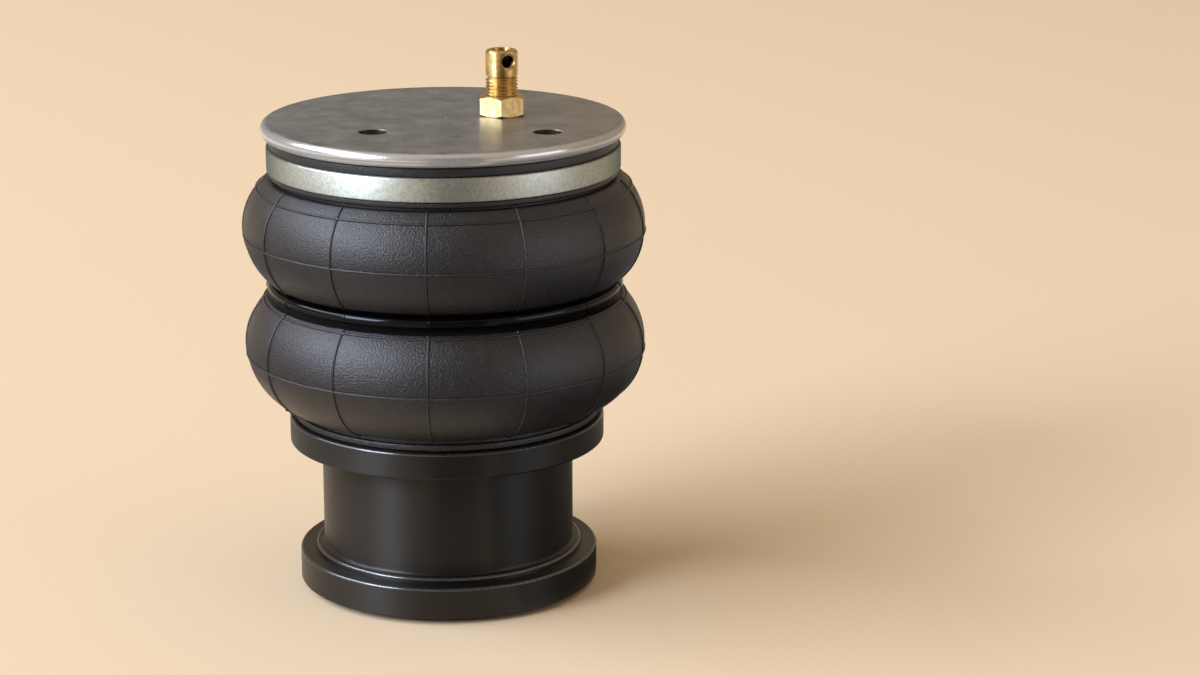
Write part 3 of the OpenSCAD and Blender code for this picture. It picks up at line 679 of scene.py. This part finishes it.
drill.data.transform(
    Matrix.Translation(stem_axis + Vector((0, 0, stem_high.z - cross_drop)))
    @ Matrix.Rotation(math.radians(cross_turn), 4, "Z") @ Matrix.Rotation(math.pi / 2, 4, "Y"))
cross_hole = stem.modifiers.new("cross_hole", "BOOLEAN")
cross_hole.operation = "DIFFERENCE"
cross_hole.object = drill
graph = bpy.context.evaluated_depsgraph_get()
stem.data = bpy.data.meshes.new_from_object(stem.evaluated_get(graph))
stem.modifiers.clear()
bpy.data.objects.remove(drill)
stem.data.set_sharp_from_angle(angle=math.radians(35))

# A thread is one ridge of triangular section that climbs round a shank, or round the wall of a hole
tree, size = shape_tree("thread_ridge", {
    "Axis": "Vector", "Radius": "Float", "Pitch": "Float", "Depth": "Float", "Turns": "Float",
    "Finish": "Material",
})
climb = add(tree, "ShaderNodeMath", {0: size["Pitch"], 1: size["Turns"]}, operation="MULTIPLY")
helix = add(tree, "GeometryNodeCurveSpiral", {"Resolution": 64, "Rotations": size["Turns"],
                                              "Start Radius": size["Radius"], "End Radius": size["Radius"],
                                              "Height": climb.outputs[0]})
level = add(tree, "GeometryNodeSetCurveNormal", {"Curve": helix.outputs[0]}, mode="Z_UP")
ridge_width = add(tree, "ShaderNodeMath", {0: size["Depth"], 1: 2.0}, operation="MULTIPLY")
ridge_half = add(tree, "ShaderNodeMath", {0: size["Pitch"], 1: 0.49}, operation="MULTIPLY")
section = add(tree, "GeometryNodeCurvePrimitiveQuadrilateral", {
    "Width": ridge_width.outputs[0], "Bottom Height": ridge_half.outputs[0],
    "Top Height": ridge_half.outputs[0],
}, mode="KITE")
ridge = add(tree, "GeometryNodeCurveToMesh", {"Curve": level.outputs[0], "Profile Curve": section.outputs[0],
                                              "Fill Caps": True})
placed = add(tree, "GeometryNodeTransform", {"Geometry": ridge.outputs[0], "Translation": size["Axis"]})
faceted = add(tree, "GeometryNodeSetShadeSmooth", {"Geometry": placed.outputs[0], "Shade Smooth": False})
joined = add(tree, "GeometryNodeJoinGeometry")
tree.links.new(size["Geometry"], joined.inputs[0])
tree.links.new(faceted.outputs[0], joined.inputs[0])
real = add(tree, "GeometryNodeRealizeInstances", {"Geometry": joined.outputs[0]})
coated = add(tree, "GeometryNodeSetMaterial", {"Geometry": real.outputs[0], "Material": size["Finish"]})
add(tree, "NodeGroupOutput", {"Geometry": coated.outputs[0]})
thread_ridge = tree

nut_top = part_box("lock_nut")[1].z
thread_low = nut_top - 2 * stem_pitch
bake(stem, thread_ridge, {
    "Axis": stem_axis + Vector((0, 0, thread_low)), "Radius": stem_root, "Pitch": stem_pitch,
    "Depth": thread_share * stem_pitch, "Turns": (head_low - relief_height - thread_low) / stem_pitch,
    "Finish": brass,
})
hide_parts("air_stem")
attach(stem, "head")

# Threads of the two tapped mounting holes, cut through the plate.
# Oily cut thread: steel wet with cutting oil and darkened by painted shade, as it lies down in the hole; it
# only glints where the light falls straight in.
thread_oil_and_shade, tree, shader, place = new_finish("dark_cut_thread_oil_and_shade", {"Metallic": 1.0, "Roughness": 0.3})
film = add(tree, "ShaderNodeTexNoise", {"Vector": place, "Scale": 1 / (1.5 * mm), "Detail": 3})
shade = add(tree, "ShaderNodeMix", {0: film.outputs["Fac"], 6: linear("#1f1e1c"), 7: linear("#45433f")},
            data_type="RGBA")
tree.links.new(shade.outputs[2], shader.inputs["Base Color"])
mount_pitch = 1.5 * mm
plate_low, plate_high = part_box("top_plate")
for name in ("mount_nut_left", "mount_nut_right"):
    low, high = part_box(name)
    tapped = blank(name.replace("mount_nut", "tapped_thread"))
    bake(tapped, thread_ridge, {
        "Axis": Vector(((low.x + high.x) / 2, (low.y + high.y) / 2, plate_low.z - 3 * mount_pitch)),
        "Radius": mount_round, "Pitch": mount_pitch, "Depth": thread_share * mount_pitch,
        "Turns": (plate_high.z - plate_low.z) / mount_pitch + 2.2, "Finish": thread_oil_and_shade,
    })
    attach(tapped, "head")

# Stage: a wide sheet of beige paper, lit by two cool soft boxes at the left and a weaker one low at the
# right, in a room with a dim warm light of its own.
floor_half = 8.0
floor_form = bmesh.new()
bmesh.ops.create_grid(floor_form, x_segments=2, y_segments=2, size=floor_half)
floor_mesh = bpy.data.meshes.new("floor")
floor_form.to_mesh(floor_mesh)
floor_form.free()
floor = bpy.data.objects.new("floor", floor_mesh)
bpy.context.scene.collection.objects.link(floor)
paper, tree, shader, place = new_finish("beige_paper", {"Roughness": 0.9, "Specular IOR Level": 0.1})
fibre = add(tree, "ShaderNodeTexNoise", {"Vector": place, "Scale": 1 / (2.0 * mm), "Detail": 4})
shade = add(tree, "ShaderNodeMix", {0: fibre.outputs["Fac"], 6: linear("#ebd7ba"), 7: linear("#f1dec2")},
            data_type="RGBA")
tree.links.new(shade.outputs[2], shader.inputs["Base Color"])
floor_mesh.materials.append(paper)


def soft_box(name, turn, lift, distance, size, power, tint):
    """An area lamp that faces the object, turned from the front and lifted, in degrees."""
    lamp = bpy.data.lights.new(name, "AREA")
    lamp.shape = "RECTANGLE"
    lamp.size, lamp.size_y = size
    lamp.energy = power
    lamp.color = linear(tint)[:3]
    turn = math.radians(turn)
    lift = math.radians(lift)
    away = Vector((math.sin(turn) * math.cos(lift), -math.cos(turn) * math.cos(lift), math.sin(lift)))
    holder = bpy.data.objects.new(name, lamp)
    bpy.context.scene.collection.objects.link(holder)
    holder.location = Vector((0, 0, 0.1)) + away * distance
    holder.rotation_euler = away.to_track_quat("Z", "Y").to_euler()


soft_box("left_window", -91, 38, 6.0, (4.2, 3.2), 230.0, "#eaf2ff")
soft_box("left_front", -54, 25, 6.0, (2.6, 2.6), 285.0, "#eaf2ff")
soft_box("right_wall", 66, 9, 6.0, (3.6, 2.4), 52.0, "#f0f4ff")


# Grey cards that only reflections see: a ring on the paper round the object and a darker piece close to
# its right side, which keep the black pieces from mirroring the warm floor, and a sheet in front that is
# turned up before the camera.
card_lift = 1 * mm


def grey_card(name, rows, closed, colour):
    """A card through rows of points, seen by mirroring surfaces only."""
    form = bmesh.new()
    rows = [[form.verts.new(point) for point in row] for row in rows]
    for low, high in zip(rows, rows[1:]):
        for i in range(0 if closed else 1, len(low)):
            form.faces.new((low[i - 1], low[i], high[i], high[i - 1]))
    mesh = bpy.data.meshes.new(name)
    form.to_mesh(mesh)
    form.free()
    card = bpy.data.objects.new(name, mesh)
    bpy.context.scene.collection.objects.link(card)
    card.visible_camera = False
    card.visible_diffuse = False
    card.visible_shadow = False
    finish = new_finish(name, {"Base Color": linear(colour), "Roughness": 1.0, "Specular IOR Level": 0.0})[0]
    mesh.materials.append(finish)


compass = [(math.cos(math.radians(turn)), math.sin(math.radians(turn))) for turn in range(0, 360, 5)]
right_side = compass[-11:] + compass[:13]
grey_card("ring_card", [[(reach * x, reach * y, card_lift) for x, y in compass] for reach in (0.22, 0.6)],
          True, "#8f9194")
grey_card("shade_card", [[(reach * x, reach * y, card_lift) for x, y in right_side] for reach in (0.06, 0.22)],
          False, "#5c5c5c")
grey_card("front_card", [
    [(-0.02, -0.12, 2 * card_lift), (0.06, -0.12, 2 * card_lift)],
    [(-0.2, -1.5, 2 * card_lift), (0.8, -1.5, 2 * card_lift)],
    [(-0.2, -1.5, 1.5), (0.8, -1.5, 1.5)],
], False, "#767472")

# The room's own light: dim near the horizon and brighter overhead
world = bpy.data.worlds.new("studio")
world.use_nodes = True
tree = world.node_tree
sky = tree.nodes["Background"]
sky.inputs["Color"].default_value = linear("#ffe4c0")
direction = add(tree, "ShaderNodeTexCoord").outputs["Generated"]
lift = add(tree, "ShaderNodeSeparateXYZ", {"Vector": direction}).outputs["Z"]
level = add(tree, "ShaderNodeMapRange", {"Value": lift, "From Min": 0.2, "From Max": 1.0,
                                         "To Min": 0.36, "To Max": 0.6})
tree.links.new(level.outputs[0], sky.inputs["Strength"])
bpy.context.scene.world = world

# Camera at the photo's angle: a long lens a little to the right, looking down 14.9 degrees
camera = bpy.data.cameras.new("camera")
camera.sensor_width = 36
camera.lens = 90.59
viewpoint = bpy.data.objects.new("camera", camera)
viewpoint.location = (0.05773, -1.09636, 0.38534)
viewpoint.rotation_euler = (math.radians(90 - 14.884), 0, 0)
bpy.context.scene.collection.objects.link(viewpoint)
bpy.context.scene.camera = viewpoint
bpy.context.scene.view_settings.view_transform = "Standard"

bpy.context.view_layer.update()
